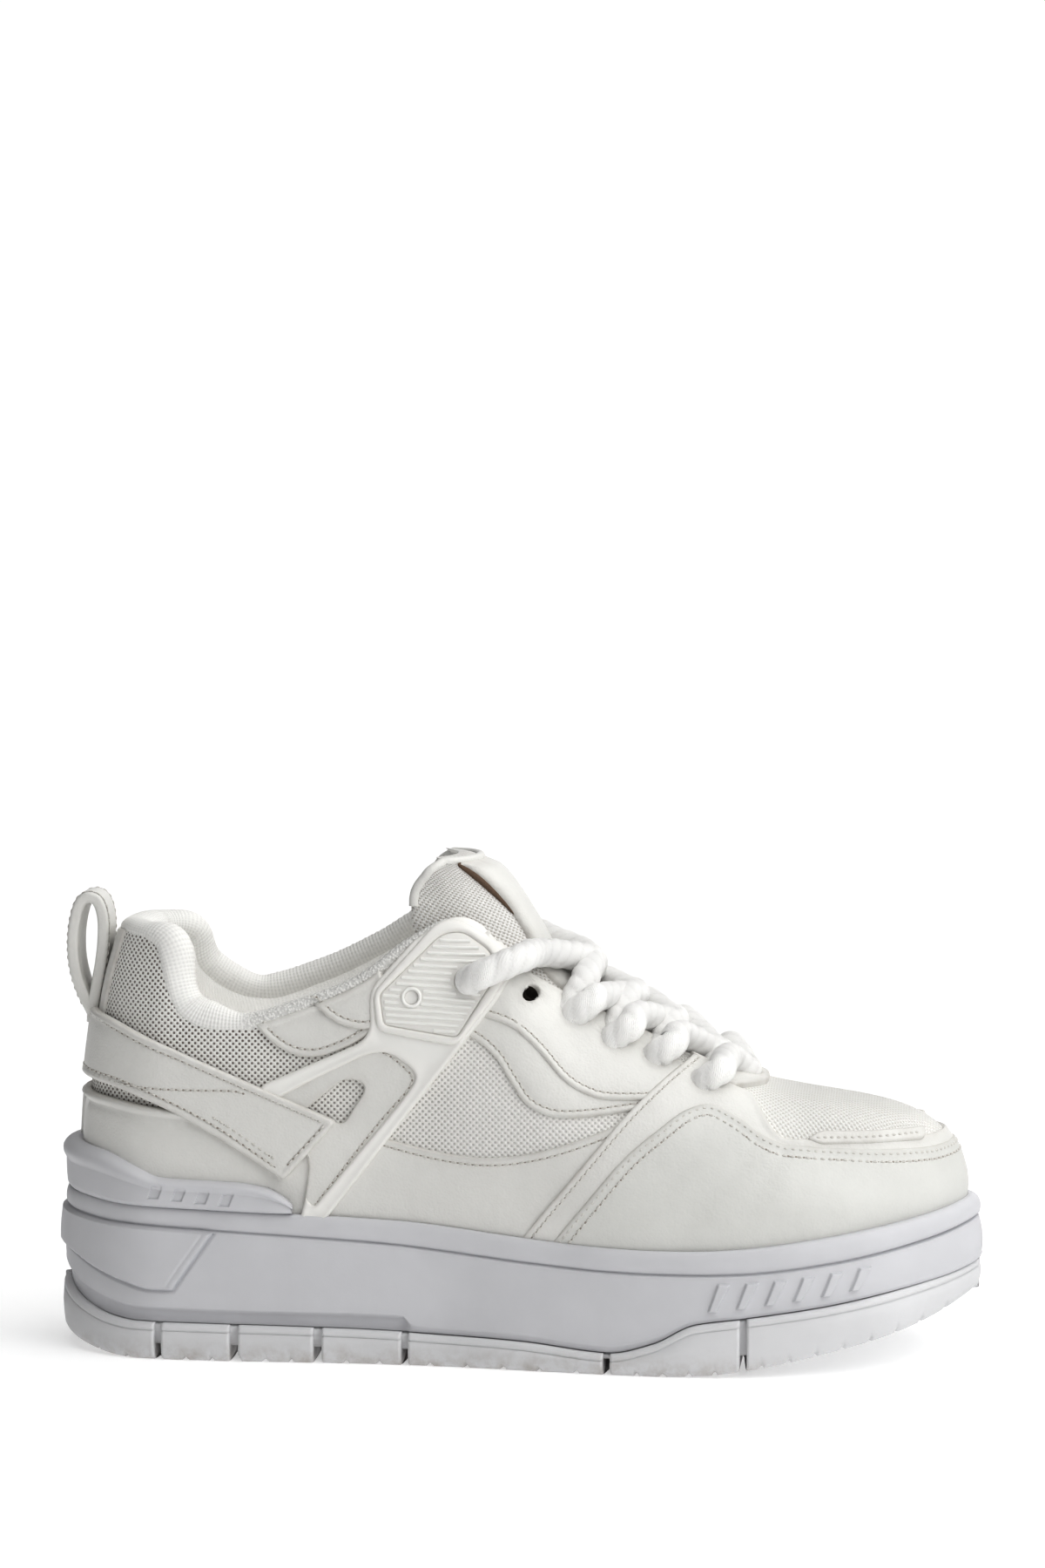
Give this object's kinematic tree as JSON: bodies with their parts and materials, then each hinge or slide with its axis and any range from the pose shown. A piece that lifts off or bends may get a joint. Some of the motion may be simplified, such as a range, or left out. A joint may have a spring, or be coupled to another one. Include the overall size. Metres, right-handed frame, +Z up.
{
  "type": "platform sneaker",
  "caption": "Low-cut lace-up sneaker on a thick flat platform sole, with a hollow upper, padded collar, moulded side cages, heel strap and pull loop.",
  "frame": {"origin": "bottom centre of the shoe's box, on the plane of the tread", "axes": "+X towards the toe, -Y the lateral (outer) side, +Z up"},
  "size_m": [0.285, 0.1034, 0.15],
  "materials": {
    "outsole_rubber": "matte",
    "midsole_foam": "satin",
    "mesh": "open woven mesh",
    "lining": "knitted",
    "leather": "smooth, fine grain",
    "moulded": "satin",
    "lace": "twisted cotton rope",
    "thread": "matte"
  },
  "bodies": {
    "root": {"outsole": "outsole_rubber", "midsole": "midsole_foam", "heel_clip": "midsole_foam", "upper": "mesh", "tongue": "mesh", "insole": "lining", "lace_cage_lateral": "moulded", "lace_cage_medial": "moulded", "heel_counter": "leather", "heel_strap": "leather", "pull_loop": "leather", "laces": "lace"}
  },
  "joints": []
}
